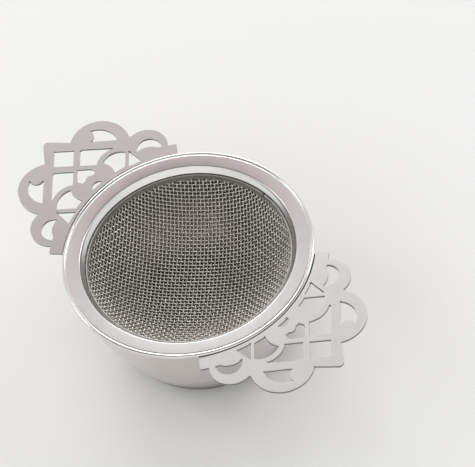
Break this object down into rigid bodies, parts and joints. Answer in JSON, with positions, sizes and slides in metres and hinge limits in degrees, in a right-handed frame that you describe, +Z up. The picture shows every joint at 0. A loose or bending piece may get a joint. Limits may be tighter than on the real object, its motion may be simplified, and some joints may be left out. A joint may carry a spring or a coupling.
{
  "type": "tea strainer with drip bowl",
  "caption": "Two-eared stainless steel tea strainer with a domed woven-wire basket and pierced scrollwork handles, resting on a small drip bowl.",
  "frame": {"origin": "middle of the drip bowl's foot, on the table", "axes": "+Z up along the axis of the rim and the bowl, X along the two handles, Y across them"},
  "size_m": [0.1202, 0.0714, 0.0392],
  "materials": {
    "polished_steel": "polished stainless steel",
    "stamped_steel": "tumbled and polished sheet stainless steel",
    "wire_cloth": "woven stainless wire",
    "bowl_steel": "mirror-polished pressed stainless steel",
    "weld_steel": "ground spot welds"
  },
  "bodies": {
    "bowl": {"drip_bowl": "bowl_steel"},
    "strainer": {"rim_ring": "polished_steel", "mesh_basket": "wire_cloth", "mesh_clamp_ring": "polished_steel", "handle_right": "stamped_steel", "handle_left": "stamped_steel", "handle_spot_welds": "weld_steel"}
  },
  "joints": [
    {"name": "strainer_lift", "type": "slide", "parent": "bowl", "child": "strainer", "axis": [0, 0, 1], "range_m": [0, 0.06]}
  ]
}
